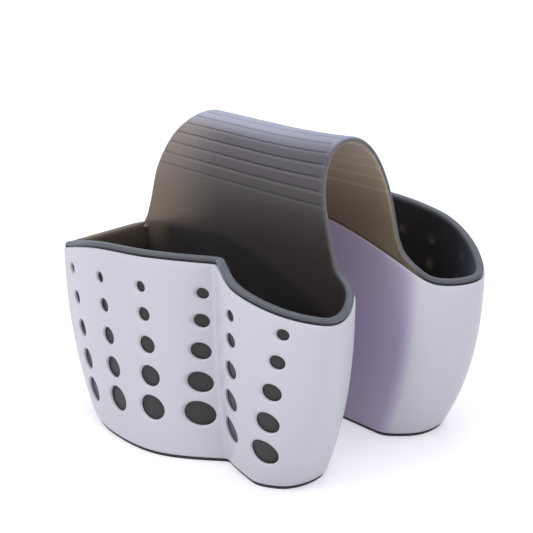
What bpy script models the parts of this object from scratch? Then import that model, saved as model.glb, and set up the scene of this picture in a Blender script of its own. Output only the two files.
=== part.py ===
# Sink organizer: two open baskets that stand or hang either side of a
# sink divider, joined over it by a soft strap that bends at its grooves.
#
# X runs along the divider, Y across it (the front basket is at -Y) and
# Z is up. The origin lies on the floor, midway between the baskets.
# Every basket size is given for one basket: across its flat wall (X)
# and away from that wall (depth). The back basket mirrors the front one,
# but its outer wall runs on without the front one's crease.

from math import acos, cos, pi, sin, tan

import bmesh
import bpy
import numpy as np
from mathutils import Matrix, Vector

# Overall sizes
overall_height = 0.1524
gap_between_baskets = 0.037
piece_gap = 0.0003
cut_overrun = 0.003

# Basket outline, at the rim and at the base
rim_width = 0.1696
rim_depth = 0.0646
rim_height = 0.100
base_width = 0.128
base_depth = 0.0611
bowl_power = 2.36

# Rounded upright edges of the basket
left_corner_round = 0.003
strap_corner_round = 0.006
kink_round = 0.012
crease_round = 0.003
least_round = 0.0005
corner_steps = 3
corner_reach_share = 0.8

# Hard outer shell
shell_wall = 0.0015
shell_floor = 0.0020
shell_ledge = 0.0040
shell_edge = 0.0006

# Soft foot ring under the shell
foot_height = 0.0013
foot_setback = 0.0010
foot_width = 0.0060

# Soft liner with its rolled rim
liner_wall = 0.0025
liner_floor = 0.0020
bead_height = 0.0027
bead_setback = 0.0006
seat_depth = 0.0010

# Soft strap over the divider
strap_thickness = 0.0030
strap_top_width = 0.100
arch_rise = 0.033
arch_power = 2.18
crown_flare = 0.0024
groove_pitch = 0.00575
groove_width = 0.0012
groove_depth = 0.0006
plain_crown_end = 0.0070
hinge_rise_share = 0.6

# Round holes in the shell, drilled straight towards the flat wall: five
# rows that grow downwards
top_row_drop = 0.0144
bottom_row_height = 0.0254
top_hole_diameter = 0.0053
bottom_hole_diameter = 0.0128
hole_chamfer = 0.0006
hole_rows = 5
hole_growth_power = 1.08
hole_size_power = 1.2
hole_sides = 16

# Drain holes in the liner's floor
drain_diameter = 0.006
drain_pitch = 0.016
drain_sides = 12

# Knots round one basket, clockwise from above for the front basket:
# strap corner, left corner, two on the large lobe, crease, five on the
# small lobe, kink, middle of the flat wall. Each gives its place along
# the width and its place in the depth, as shares of those two sizes.
front_rim_shares = (
    (-0.474, 0.0), (-0.452, 0.862), (-0.213, 0.997), (0.0, 0.943),
    (0.166, 0.667), (0.226, 0.777), (0.313, 0.858), (0.448, 0.743),
    (0.526, 0.529), (0.483, 0.152), (0.444, 0.0), (-0.015, 0.0))
front_base_shares = (
    (-0.459, 0.0), (-0.46, 0.868), (-0.249, 1.0), (0.005, 0.956),
    (0.23, 0.617), (0.262, 0.64), (0.352, 0.686), (0.454, 0.696),
    (0.537, 0.563), (0.541, 0.203), (0.457, 0.0), (0.0, 0.0))
front_height_shares = (
    0.868, 0.857, 0.966, 0.998, 0.995, 1.013, 0.967, 0.892, 0.851, 0.829,
    0.889, 1.046)
back_rim_shares = (
    (-0.474, 0.0), (-0.452, 0.862), (-0.213, 0.985), (-0.015, 1.0),
    (0.153, 0.995), (0.262, 0.965), (0.355, 0.887), (0.448, 0.743),
    (0.526, 0.529), (0.483, 0.152), (0.444, 0.0), (-0.015, 0.0))
back_base_shares = (
    (-0.459, 0.0), (-0.46, 0.868), (-0.249, 0.985), (0.005, 0.99),
    (0.173, 0.91), (0.297, 0.864), (0.388, 0.779), (0.454, 0.696),
    (0.537, 0.563), (0.541, 0.203), (0.457, 0.0), (0.0, 0.0))
back_height_shares = (
    0.868, 0.857, 0.966, 0.998, 0.984, 0.959, 0.92, 0.874, 0.828, 0.829,
    0.889, 1.046)
front_knot_steps = (4, 3, 4, 4, 1, 2, 3, 3, 3, 2, 6, 6)
back_knot_steps = (4, 3, 4, 4, 2, 2, 3, 3, 3, 2, 6, 6)
strap_corner, left_corner, crease, lobe_tip, kink = 0, 1, 4, 8, 10
front_corners = (strap_corner, left_corner, crease, kink)
back_corners = (strap_corner, left_corner, kink)

# Heights up the wall that carry a ring of points, as shares of the wall
wall_ring_shares = (0.06, 0.13, 0.23, 0.36, 0.52, 0.72)

# Strap edges from the top down: height as a share of the crown's
# height, then each edge's distance from the middle as a share of half
# the strap's top width.
strap_left_shares = (
    (1.0, 1.01), (0.947, 1.12), (0.867, 1.232), (0.787, 1.338),
    (0.707, 1.416), (0.627, 1.484), (0.6, 1.505), (0.58, 1.51))
strap_right_shares = (
    (1.0, 0.996), (0.947, 1.036), (0.867, 1.096), (0.787, 1.168),
    (0.707, 1.236), (0.627, 1.308), (0.6, 1.33), (0.58, 1.345))
strap_column_count = 14
leg_row_count = 4
edge_walk_steps = 8

# Hole columns: each column's place at its top, middle and bottom row, as
# a share of the way from the left corner to the kink, how far the column
# sits below the tallest one, as a share of the rim height, and how much
# its upper rows crowd, as a share of the growth power.
front_hole_shares = (
    (0.035, 0.053, 0.06, 0.068, 0.98), (0.122, 0.135, 0.1445, 0.025, 1.0),
    (0.209, 0.2165, 0.219, 0.0045, 1.01), (0.311, 0.305, 0.297, 0.0025, 1.01),
    (0.549, 0.5395, 0.5, 0.0095, 1.1), (0.673, 0.6525, 0.649, 0.047, 1.02))
back_hole_shares = (
    (0.036, 0.049, 0.057, 0.068, 1.0), (0.106, 0.117, 0.122, 0.03, 1.0),
    (0.189, 0.193, 0.194, 0.0, 1.0), (0.283, 0.278, 0.272, 0.0, 1.0),
    (0.386, 0.376, 0.378, 0.012, 1.0), (0.561, 0.53, 0.522, 0.026, 1.0))

# Sizes that follow from the ones above
shell_bottom = foot_height + piece_gap
flat_wall_y = gap_between_baskets / 2
liner_setback = shell_wall + piece_gap
inner_setback = liner_setback + liner_wall
strap_outer_y = flat_wall_y + inner_setback
crown_height = overall_height - crown_flare
spring_height = crown_height - arch_rise
hinge_height = spring_height + hinge_rise_share * arch_rise
top_row_height = rim_height - top_row_drop

# Colour, metallic, roughness
shell_look = ((0.62, 0.60, 0.70), 0.0, 0.38)
liner_look = ((0.075, 0.080, 0.090), 0.0, 0.50)
strap_look = ((0.16, 0.145, 0.14), 0.0, 0.45)
foot_look = ((0.015, 0.015, 0.018), 0.0, 0.60)


def clear_scene():
    for item in list(bpy.data.objects):
        bpy.data.objects.remove(item, do_unlink=True)


def make_material(name, look):
    colour, metallic, roughness = look
    material = bpy.data.materials.new(name)
    material.use_nodes = True
    shader = material.node_tree.nodes["Principled BSDF"]
    shader.inputs["Base Color"].default_value = (*colour, 1.0)
    shader.inputs["Metallic"].default_value = metallic
    shader.inputs["Roughness"].default_value = roughness
    return material


def add_object(name, mesh_builder, material):
    # Outlines are drawn about the strap; the part stands about its own middle.
    bmesh.ops.translate(mesh_builder, verts=mesh_builder.verts, vec=(-part_middle(), 0, 0))
    bmesh.ops.recalc_face_normals(mesh_builder, faces=mesh_builder.faces)
    mesh = bpy.data.meshes.new(name)
    mesh_builder.to_mesh(mesh)
    mesh_builder.free()
    mesh.shade_smooth()
    mesh.set_sharp_from_angle(angle=pi / 6)
    mesh.materials.append(material)
    item = bpy.data.objects.new(name, mesh)
    bpy.context.collection.objects.link(item)
    return item


# Smooth courses through knots. At a corner the course may turn sharply.

def knot_slopes(knots, corners, closed):
    count = len(knots)
    slope_in = np.zeros_like(knots)
    slope_out = np.zeros_like(knots)
    for index in range(count):
        before = knots[index] - knots[index - 1]
        after = knots[(index + 1) % count] - knots[index]
        at_end = not closed and index in (0, count - 1)
        if index in corners or at_end:
            slope_in[index] = before
            slope_out[index] = after
            continue
        length_before = np.linalg.norm(before)
        length_after = np.linalg.norm(after)
        direction = (before / length_before * length_after
                     + after / length_after * length_before)
        direction /= length_before + length_after
        slope_in[index] = direction * length_before
        slope_out[index] = direction * length_after
    return slope_in, slope_out


def point_on_course(knots, corners, place, closed=True):
    count = len(knots)
    slope_in, slope_out = knot_slopes(knots, corners, closed)
    first = int(place) % count
    t = place - int(place)
    last = (first + 1) % count
    start, end = knots[first], knots[last]
    leave, arrive = slope_out[first], slope_in[last]
    free_start = first in corners or (not closed and first == 0)
    free_end = last in corners or (not closed and last == count - 1)
    if free_start and not free_end:
        leave = (3 * (end - start) - arrive) / 2
    if free_end and not free_start:
        arrive = (3 * (end - start) - leave) / 2
    return ((2 * t**3 - 3 * t**2 + 1) * start + (t**3 - 2 * t**2 + t) * leave
            + (3 * t**2 - 2 * t**3) * end + (t**3 - t**2) * arrive)


class Basket:
    """One basket's outline. side is -1 for the front one, 1 for the back."""

    def __init__(self, side, rim, base, heights, steps, corners, hole_shares):
        self.side = side
        self.corners = corners
        self.hole_shares = hole_shares
        self.knots = np.column_stack((
            np.array(rim) * (rim_width, rim_depth),
            np.array(base) * (base_width, base_depth),
            np.array(heights) * rim_height))
        self.places = []
        for index, count in enumerate(steps):
            self.places += [index + step / count for step in range(count)]
        self.samples = self.sample(self.places)
        self.bead_fade = np.array([1.0 if strap_corner < place < kink else 0.0
                                   for place in self.places])

    def sample(self, places):
        # Columns: rim x, rim depth, base x, base depth, rim height.
        rows = [point_on_course(self.knots, self.corners, place) for place in places]
        return np.array(rows)


front_basket = Basket(-1, front_rim_shares, front_base_shares, front_height_shares,
                      front_knot_steps, front_corners, front_hole_shares)
back_basket = Basket(1, back_rim_shares, back_base_shares, back_height_shares,
                     back_knot_steps, back_corners, back_hole_shares)


def wall_plan(samples, heights):
    # The wall leans out fastest near the base, like a bowl.
    rise = (heights - shell_bottom) / (samples[:, 4] - shell_bottom)
    rise = np.clip(rise, 0, 1)
    lean = 1 - (1 - rise) ** bowl_power
    return samples[:, 2:4] + (samples[:, 0:2] - samples[:, 2:4]) * lean[:, None]


def set_in(plan, setback):
    # Moves each point of a clockwise outline inwards by the setback.
    before = plan - np.roll(plan, 1, axis=0)
    after = np.roll(plan, -1, axis=0) - plan
    before /= np.linalg.norm(before, axis=1)[:, None]
    after /= np.linalg.norm(after, axis=1)[:, None]
    normal_before = np.column_stack((before[:, 1], -before[:, 0]))
    normal_after = np.column_stack((after[:, 1], -after[:, 0]))
    share = 1 + (normal_before * normal_after).sum(axis=1)
    mitre = (normal_before + normal_after) / share[:, None]
    return plan + mitre * np.broadcast_to(setback, len(plan))[:, None]


def corner_radius(index, setback):
    radii = {
        strap_corner: strap_corner_round - setback,
        left_corner: left_corner_round - setback,
        crease: crease_round + setback,
        kink: kink_round - setback,
    }
    return max(radii[index], least_round)


def round_corners(basket, points, setback):
    # Swaps each corner point for a short curve that its sides touch.
    rounded = []
    count = len(points)
    setbacks = np.broadcast_to(setback, count)
    for index in range(count):
        place = basket.places[index]
        if place not in basket.corners:
            rounded.append(points[index])
            continue
        to_last = points[index - 1] - points[index]
        to_next = points[(index + 1) % count] - points[index]
        length_last = np.linalg.norm(to_last[:2])
        length_next = np.linalg.norm(to_next[:2])
        cosine = -(to_last[:2] @ to_next[:2]) / (length_last * length_next)
        turn = acos(max(-1.0, min(1.0, cosine)))
        trim = corner_radius(int(place), setbacks[index]) * tan(turn / 2)
        trim = min(trim, corner_reach_share * min(length_last, length_next))
        start = points[index] + to_last * trim / length_last
        end = points[index] + to_next * trim / length_next
        for step in range(corner_steps + 1):
            t = step / corner_steps
            rounded.append((1 - t)**2 * start + 2 * t * (1 - t) * points[index] + t**2 * end)
    return np.array(rounded)


def wall_loop(basket, heights, setback):
    heights = np.broadcast_to(heights, len(basket.samples)).astype(float)
    plan = set_in(wall_plan(basket.samples, heights), setback)
    points = np.column_stack((plan, heights))
    return round_corners(basket, points, setback)


def part_middle():
    rims = [wall_loop(basket, basket.samples[:, 4], 0)[:, 0]
            for basket in (front_basket, back_basket)]
    return (min(rim.min() for rim in rims) + max(rim.max() for rim in rims)) / 2


def share_heights(basket, share):
    return shell_bottom + share * (basket.samples[:, 4] - shell_bottom)


def to_world(points, side):
    return [Vector((x, side * (flat_wall_y + depth), z)) for x, depth, z in points]


def skin_loops(loops, side, closed):
    # Joins rings of points into one body, as a closed tube or with caps.
    builder = bmesh.new()
    rings = [[builder.verts.new(point) for point in to_world(loop, side)] for loop in loops]
    pairs = list(zip(rings, rings[1:]))
    if closed:
        pairs.append((rings[-1], rings[0]))
    for lower, upper in pairs:
        for index in range(len(lower)):
            following = (index + 1) % len(lower)
            builder.faces.new((lower[index], lower[following], upper[following], upper[index]))
    if not closed:
        builder.faces.new(rings[0])
        builder.faces.new(rings[-1])
    return builder


# Hard shell: a wall on a narrow ledge, open above and below

def shell_loops(basket):
    floor_top = shell_bottom + shell_floor
    ledge_setback = shell_wall + shell_ledge
    loops = [wall_loop(basket, shell_bottom, shell_edge)]
    loops.append(wall_loop(basket, shell_bottom + shell_edge, 0))
    for share in (*wall_ring_shares, 1):
        loops.append(wall_loop(basket, share_heights(basket, share), 0))
    for share in (1, *wall_ring_shares[::-1]):
        loops.append(wall_loop(basket, share_heights(basket, share), shell_wall))
    loops.append(wall_loop(basket, floor_top, shell_wall))
    loops.append(wall_loop(basket, floor_top, ledge_setback))
    loops.append(wall_loop(basket, shell_bottom, ledge_setback))
    return loops


def hole_place(column, growth):
    # A bow through the column's top, middle and bottom places.
    top, middle, bottom = (left_corner + share * (kink - left_corner) for share in column[:3])
    halfway = 0.5 ** hole_growth_power
    rise = (middle - top) / halfway
    bend = ((bottom - top) - rise) / (1 - halfway)
    return top + growth * (rise + bend * (growth - halfway))


def wall_depth(basket, x, height):
    # How far out the outer wall stands at x, up to the small lobe's tip.
    plan = wall_plan(basket.samples, np.full(len(basket.samples), height))
    outer = [index for index, place in enumerate(basket.places)
             if left_corner <= place <= lobe_tip]
    return np.interp(x, plan[outer, 0], plan[outer, 1])


def add_hole_cutter(builder, basket, column, row):
    share = row / (hole_rows - 1)
    growth = share ** (hole_growth_power * column[4])
    diameter = top_hole_diameter
    diameter += share**hole_size_power * (bottom_hole_diameter - top_hole_diameter)
    height = top_row_height + growth * (bottom_row_height - top_row_height)
    height -= column[3] * rim_height
    samples = basket.sample((hole_place(column, growth),))
    middle = wall_plan(samples, np.array([height]))[0][0]
    reach = shell_wall + bottom_hole_diameter
    # The far ends are level cuts; the chamfer follows the wall.
    stations = ((-reach, 0, 0), (-hole_chamfer, 0, 1),
                (0, hole_chamfer, 1), (reach, hole_chamfer, 0))
    rings = []
    for offset, wider, follows in stations:
        ring = []
        for step in range(hole_sides):
            angle = 2 * pi * step / hole_sides
            sideways = cos(angle) * (diameter / 2 + wider)
            upwards = sin(angle) * (diameter / 2 + wider)
            depth = wall_depth(basket, middle + follows * sideways, height + follows * upwards)
            y = basket.side * (flat_wall_y + depth + offset)
            ring.append(builder.verts.new((middle + sideways, y, height + upwards)))
        rings.append(ring)
    for inner, outer in zip(rings, rings[1:]):
        for index in range(hole_sides):
            following = (index + 1) % hole_sides
            builder.faces.new((inner[index], inner[following], outer[following], outer[index]))
    builder.faces.new(rings[0])
    builder.faces.new(rings[-1])


def cut_with(item, builder, name):
    cutter = add_object(name, builder, item.data.materials[0])
    cutter.hide_render = True
    cutter.display_type = "WIRE"
    cut = item.modifiers.new("Cut", "BOOLEAN")
    cut.operation = "DIFFERENCE"
    cut.solver = "EXACT"
    cut.object = cutter
    return cutter


def make_shell(name, basket, material):
    shell = add_object(name, skin_loops(shell_loops(basket), basket.side, True), material)
    builder = bmesh.new()
    for column in basket.hole_shares:
        for row in range(hole_rows):
            add_hole_cutter(builder, basket, column, row)
    return shell, cut_with(shell, builder, name + "_hole_cutter")


# Soft liner: a cup whose rolled rim sits on the shell's top edge

def bead_profile():
    # Setback and height above the rim: rolled, then flat under the strap.
    middle = (liner_setback + inner_setback) / 2
    quarter = liner_wall / 4
    top = piece_gap + bead_height
    rolled = (
        (liner_setback, -seat_depth), (liner_setback, piece_gap),
        (bead_setback, piece_gap), (bead_setback, top * 2 / 3),
        (bead_setback + quarter * 2, top - quarter / 2), (middle - quarter, top),
        (inner_setback - quarter, top - quarter / 2), (inner_setback, top * 2 / 3),
        (inner_setback, -seat_depth))
    flat = (
        (liner_setback, -seat_depth), (liner_setback, 0),
        (liner_setback + quarter / 4, 0), (liner_setback + quarter / 2, 0),
        (liner_setback + quarter, 0), (middle, 0),
        (inner_setback - quarter, 0), (inner_setback, -seat_depth / 4),
        (inner_setback, -seat_depth))
    return zip(rolled, flat)


def liner_loops(basket):
    bottom = shell_bottom + shell_floor + piece_gap
    rim = basket.samples[:, 4]
    loops = [wall_loop(basket, bottom, liner_setback)]
    for share in wall_ring_shares:
        loops.append(wall_loop(basket, share_heights(basket, share), liner_setback))
    for rolled, flat in bead_profile():
        setback = flat[0] + basket.bead_fade * (rolled[0] - flat[0])
        lift = flat[1] + basket.bead_fade * (rolled[1] - flat[1])
        loops.append(wall_loop(basket, rim + lift, setback))
    for share in wall_ring_shares[:0:-1]:
        loops.append(wall_loop(basket, share_heights(basket, share), inner_setback))
    loops.append(wall_loop(basket, bottom + liner_floor, inner_setback))
    return loops


def drain_centres():
    # Two rows across the floor, inside both lobes.
    rows = []
    for column in range(-2, 3):
        rows.append((column * drain_pitch, drain_pitch))
    for column in range(-2, 1):
        rows.append((column * drain_pitch, 2 * drain_pitch))
    return rows


def make_liner(name, basket, material):
    liner = add_object(name, skin_loops(liner_loops(basket), basket.side, False), material)
    bottom = shell_bottom + shell_floor + piece_gap
    builder = bmesh.new()
    for x, depth in drain_centres():
        y = basket.side * (flat_wall_y + depth)
        place = Matrix.Translation((x, y, bottom + liner_floor / 2))
        bmesh.ops.create_cone(
            builder, cap_ends=True, segments=drain_sides, radius1=drain_diameter / 2,
            radius2=drain_diameter / 2, depth=liner_floor + cut_overrun, matrix=place)
    return liner, cut_with(liner, builder, name + "_drain_cutter")


# Soft foot: a flat ring under the shell's ledge

def make_foot(name, basket, material):
    outer = foot_setback
    inner = foot_setback + foot_width
    corners = ((0, outer), (foot_height, outer), (foot_height, inner), (0, inner))
    loops = [wall_loop(basket, height, setback) for height, setback in corners]
    return add_object(name, skin_loops(loops, basket.side, True), material)


# Soft strap: two legs and a grooved crown in one sheet

def strap_edge(shares):
    knots = np.array(shares) * (crown_height, strap_top_width / 2)
    places = [step / 4 for step in range(4 * (len(knots) - 1))]
    course = [point_on_course(knots, (), place, closed=False) for place in places]
    course.append(knots[-1])
    return np.array(course)[::-1]


left_edge = strap_edge(strap_left_shares)
right_edge = strap_edge(strap_right_shares)


def edges_at(height):
    left = -np.interp(height, left_edge[:, 0], left_edge[:, 1])
    right = np.interp(height, right_edge[:, 0], right_edge[:, 1])
    return left, right


def flat_wall_top(x):
    # Both baskets share this edge.
    samples = front_basket.samples
    flat = samples[[place >= kink for place in front_basket.places]]
    flat = np.vstack((flat, samples[:1]))[::-1]
    return np.interp(x, flat[:, 0], flat[:, 4])


def arch_point(angle):
    # The outer face of the crown, from -90 degrees (front) to 90 (back).
    across = abs(sin(angle)) ** (2 / arch_power)
    up = abs(cos(angle)) ** (2 / arch_power)
    side = -1 if angle < 0 else 1
    return np.array((side * strap_outer_y * across, spring_height + arch_rise * up))


def arch_course():
    # Evenly measured walk over the crown, with the length at each point.
    angles = np.linspace(-pi / 2, pi / 2, 721)
    points = np.array([arch_point(angle) for angle in angles])
    steps = np.linalg.norm(np.diff(points, axis=0), axis=1)
    lengths = np.concatenate(([0.0], np.cumsum(steps)))
    return points, lengths


def crown_stations():
    # Lengths along the crown and how far the outer face is cut in there.
    _, lengths = arch_course()
    total = lengths[-1]
    pitches = int((total - 2 * plain_crown_end) / groove_pitch)
    first = (total - groove_pitch * pitches) / 2
    stations = [(0.0, 0.0), (first / 2, 0.0)]
    for groove in range(pitches + 1):
        middle = first + groove * groove_pitch
        stations.append((middle - groove_width / 2, 0.0))
        stations.append((middle, groove_depth))
        stations.append((middle + groove_width / 2, 0.0))
    stations += [(total - first / 2, 0.0), (total, 0.0)]
    return stations


def flared(x, y, z):
    # The crown lifts towards its right end.
    share = np.clip(x / (strap_top_width / 2), 0, 1)
    lift = crown_flare * share**2 * max(z - spring_height, 0) / arch_rise
    return x, y, z + lift


def crown_rows():
    points, lengths = arch_course()
    rows = []
    for length, cut in crown_stations():
        y = np.interp(length, lengths, points[:, 0])
        z = np.interp(length, lengths, points[:, 1])
        ahead = min(length + groove_width, lengths[-1])
        behind = max(length - groove_width, 0.0)
        dy = np.interp(ahead, lengths, points[:, 0]) - np.interp(behind, lengths, points[:, 0])
        dz = np.interp(ahead, lengths, points[:, 1]) - np.interp(behind, lengths, points[:, 1])
        size = np.hypot(dy, dz)
        outward = np.array((-dz, dy)) / size
        outer = np.array((y, z)) - outward * cut
        inner = np.array((y, z)) - outward * strap_thickness
        left, right = edges_at(z)
        across = np.linspace(left, right, strap_column_count + 1)
        rows.append(([flared(x, *outer) for x in across], [flared(x, *inner) for x in across]))
    return rows


def strap_feet():
    # Follows each edge down until it meets the flat wall's top.
    left, right = edges_at(spring_height)
    for _ in range(edge_walk_steps):
        left = edges_at(flat_wall_top(left) + piece_gap)[0]
        right = edges_at(flat_wall_top(right) + piece_gap)[1]
    return np.linspace(left, right, strap_column_count + 1)


def leg_rows_up(side):
    # From the flat wall's curved top edge up to the crown.
    feet_x = strap_feet()
    feet_z = flat_wall_top(feet_x) + piece_gap
    outer_y = side * strap_outer_y
    inner_y = side * (strap_outer_y - strap_thickness)
    rows = []
    for row in range(leg_row_count):
        share = row / leg_row_count
        heights = feet_z + share * (spring_height - feet_z)
        left = edges_at(heights[0])[0]
        right = edges_at(heights[-1])[1]
        across = np.linspace(left, right, strap_column_count + 1)
        outer = [(x, outer_y, z) for x, z in zip(across, heights)]
        inner = [(x, inner_y, z) for x, z in zip(across, heights)]
        rows.append((outer, inner))
    return rows


def make_strap(name, material):
    rows = leg_rows_up(-1) + crown_rows() + leg_rows_up(1)[::-1]
    builder = bmesh.new()
    rings = []
    for outer, inner in rows:
        rings.append([builder.verts.new(point) for point in outer + inner[::-1]])
    for lower, upper in zip(rings, rings[1:]):
        for index in range(len(lower)):
            following = (index + 1) % len(lower)
            builder.faces.new((lower[index], lower[following], upper[following], upper[index]))
    for ring in (rings[0], rings[-1]):
        for index in range(strap_column_count):
            opposite = len(ring) - 1 - index
            builder.faces.new((ring[index], ring[index + 1], ring[opposite - 1], ring[opposite]))
    return add_object(name, builder, material)


def hang_on(pivot, items):
    for item in items:
        item.parent = pivot
        item.location = -pivot.location


def main():
    clear_scene()
    shell_material = make_material("shell_plastic", shell_look)
    liner_material = make_material("liner_rubber", liner_look)
    strap_material = make_material("strap_rubber", strap_look)
    foot_material = make_material("foot_rubber", foot_look)

    make_shell("front_shell", front_basket, shell_material)
    make_liner("front_liner", front_basket, liner_material)
    make_foot("front_foot", front_basket, foot_material)
    make_strap("strap", strap_material)

    # The back basket swings on the strap, about a line through its crown.
    pivot = bpy.data.objects.new("back_basket_pivot", None)
    pivot.location = (0, 0, hinge_height)
    bpy.context.collection.objects.link(pivot)
    back_pieces = [*make_shell("back_shell", back_basket, shell_material),
                   *make_liner("back_liner", back_basket, liner_material),
                   make_foot("back_foot", back_basket, foot_material)]
    hang_on(pivot, back_pieces)


main()
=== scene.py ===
# %% [markdown]
# # A saddle organizer for a kitchen sink
# Two open baskets hang on either side of the wall between two sink bowls.
# Each basket is a hard outer shell with rows of round holes. One soft, smoky
# rubber moulding lines both baskets, rolls over their rims and crosses the
# divider as a wide strap that bends at its grooves.
#
# The measured model is loaded first. Everything that is modelled below stands
# in the same place and rides on the same moving bodies.

# %% Load the measured model
from math import acos, cos, pi, radians, sin, tan

import bmesh
import bpy
import numpy as np
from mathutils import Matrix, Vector


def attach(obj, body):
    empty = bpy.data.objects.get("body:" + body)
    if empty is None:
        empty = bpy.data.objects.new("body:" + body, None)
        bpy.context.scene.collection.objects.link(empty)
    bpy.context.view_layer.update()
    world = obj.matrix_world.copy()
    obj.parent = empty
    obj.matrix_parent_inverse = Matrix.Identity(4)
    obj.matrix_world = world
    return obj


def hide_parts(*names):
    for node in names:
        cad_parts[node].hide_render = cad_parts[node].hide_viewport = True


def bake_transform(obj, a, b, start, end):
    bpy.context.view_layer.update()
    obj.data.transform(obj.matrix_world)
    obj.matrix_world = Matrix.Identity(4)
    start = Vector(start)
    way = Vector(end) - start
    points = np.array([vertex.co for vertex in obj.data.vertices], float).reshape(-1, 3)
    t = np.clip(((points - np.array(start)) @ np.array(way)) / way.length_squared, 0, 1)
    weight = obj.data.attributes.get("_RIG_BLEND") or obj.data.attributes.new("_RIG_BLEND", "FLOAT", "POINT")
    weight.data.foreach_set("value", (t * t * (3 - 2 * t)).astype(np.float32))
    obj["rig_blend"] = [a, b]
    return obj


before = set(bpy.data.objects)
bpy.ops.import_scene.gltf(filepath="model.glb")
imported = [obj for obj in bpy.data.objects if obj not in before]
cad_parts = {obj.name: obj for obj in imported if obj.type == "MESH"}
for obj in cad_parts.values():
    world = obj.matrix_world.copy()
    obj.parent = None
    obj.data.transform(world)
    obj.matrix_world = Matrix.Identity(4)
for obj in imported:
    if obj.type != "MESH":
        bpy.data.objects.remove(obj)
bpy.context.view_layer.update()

# %% [markdown]
# The camera comes first, because every later decision is judged through it.
# A long lens from the front right keeps the upright edges nearly parallel. Its
# place and lens were worked out from the outline of the baskets and their holes.

# %% Camera
camera_place = Vector((0.4477, -0.40814, 0.27906))
camera_aim = Vector((-0.00707, -0.00366, 0.07864))
bpy.ops.object.select_all(action="DESELECT")
bpy.ops.object.camera_add(location=camera_place)
camera = bpy.context.object
camera.name = "product_camera"
camera.data.lens = 86.91
camera.data.sensor_width = 36.0
camera.rotation_mode = "QUATERNION"
camera.rotation_quaternion = (camera_aim - camera_place).to_track_quat("-Z", "Y")
bpy.context.scene.camera = camera
print("camera is", round((camera_aim - camera_place).length, 3), "m from its aim")

# %% [markdown]
# The sizes are the same named values as on the measured model, so that each
# dressed piece fits where its plain twin stands. All of them are in metres.

# %% Sizes
crown_height, crown_flare = 0.150, 0.0024
flat_wall_y = 0.0185
piece_gap = 0.0003

rim_width, rim_depth, rim_height = 0.1696, 0.0646, 0.100
base_width, base_depth = 0.128, 0.0611
bowl_power = 2.36

foot_height, foot_setback, foot_width = 0.0013, 0.0010, 0.0060
shell_bottom = foot_height + piece_gap
shell_wall, ledge_width, ledge_top = 0.0015, 0.0040, shell_bottom + 0.0020

liner_wall, liner_floor = 0.0025, 0.0020
liner_setback = shell_wall + piece_gap
inner_setback = liner_setback + liner_wall
bead_height, bead_setback = 0.0027, 0.0006
bead_width = inner_setback - bead_setback
drain_diameter, drain_pitch = 0.006, 0.016

strap_thickness = 0.0030
strap_top_width = 0.100
strap_outer_y = flat_wall_y + inner_setback
arch_rise, arch_power = 0.033, 2.18
spring_height = crown_height - arch_rise
groove_pitch, groove_width, groove_depth, groove_count = 0.00575, 0.0012, 0.0006, 14
print("strap springs at", round(spring_height * 1000, 1), "mm")

# %% [markdown]
# From above, a basket is a wide lobe and a small one, closed by a flat wall.
# The outline runs through twelve knots, given at the rim and at the base as
# shares of the basket's width and depth. The front basket has a crease between
# its lobes; on the back one the same stretch runs on smoothly.

# %% Knots of the outlines
strap_corner, left_corner, crease, lobe_tip, kink = 0, 1, 4, 8, 10
corner_rounds = {strap_corner: 0.006, left_corner: 0.003, crease: 0.003, kink: 0.012}
front_rim_shares = (
    (-0.474, 0.0), (-0.452, 0.862), (-0.213, 0.997), (0.0, 0.943),
    (0.166, 0.667), (0.226, 0.777), (0.313, 0.858), (0.448, 0.743),
    (0.526, 0.529), (0.483, 0.152), (0.444, 0.0), (-0.015, 0.0))
front_base_shares = (
    (-0.459, 0.0), (-0.46, 0.868), (-0.249, 1.0), (0.005, 0.956),
    (0.23, 0.617), (0.262, 0.64), (0.352, 0.686), (0.454, 0.696),
    (0.537, 0.563), (0.541, 0.203), (0.457, 0.0), (0.0, 0.0))
front_height_shares = (
    0.868, 0.857, 0.966, 0.998, 0.995, 1.013, 0.967, 0.892, 0.851, 0.829,
    0.889, 1.046)
# The back basket differs only round the place of the crease.
back_rim_shares = front_rim_shares[:2] + (
    (-0.213, 0.985), (-0.015, 1.0), (0.153, 0.995), (0.262, 0.965),
    (0.355, 0.887)) + front_rim_shares[7:]
back_base_shares = front_base_shares[:2] + (
    (-0.249, 0.985), (0.005, 0.99), (0.173, 0.91), (0.297, 0.864),
    (0.388, 0.779)) + front_base_shares[7:]
back_height_shares = front_height_shares[:4] + (
    0.984, 0.959, 0.92, 0.874, 0.828) + front_height_shares[9:]


def outline_knots(rim, base, heights):
    return np.column_stack((np.array(rim) * (rim_width, rim_depth),
                            np.array(base) * (base_width, base_depth),
                            np.array(heights) * rim_height))


front_knots = outline_knots(front_rim_shares, front_base_shares, front_height_shares)
back_knots = outline_knots(back_rim_shares, back_base_shares, back_height_shares)
print(len(front_knots), "knots, rim from", front_knots[:, 4].min(), "to", front_knots[:, 4].max())


# %% [markdown]
# A smooth curve through the knots could be a curve object. Worked out as a cubic
# with a slope at each knot, it gives a point for any place on the outline, so
# rings, holes and the strap's edges can all ask the same curve. A sharp knot
# has one slope for each side.

# %% A smooth course through knots
def knot_slopes(points, sharp, closed):
    count = len(points)
    arriving, leaving = np.zeros_like(points), np.zeros_like(points)
    for index in range(count):
        before = points[index] - points[index - 1]
        after = points[(index + 1) % count] - points[index]
        if index in sharp or (not closed and index in (0, count - 1)):
            arriving[index], leaving[index] = before, after
            continue
        near, far = np.linalg.norm(before), np.linalg.norm(after)
        direction = (before / near * far + after / far * near) / (near + far)
        arriving[index], leaving[index] = direction * near, direction * far
    return arriving, leaving


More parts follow.
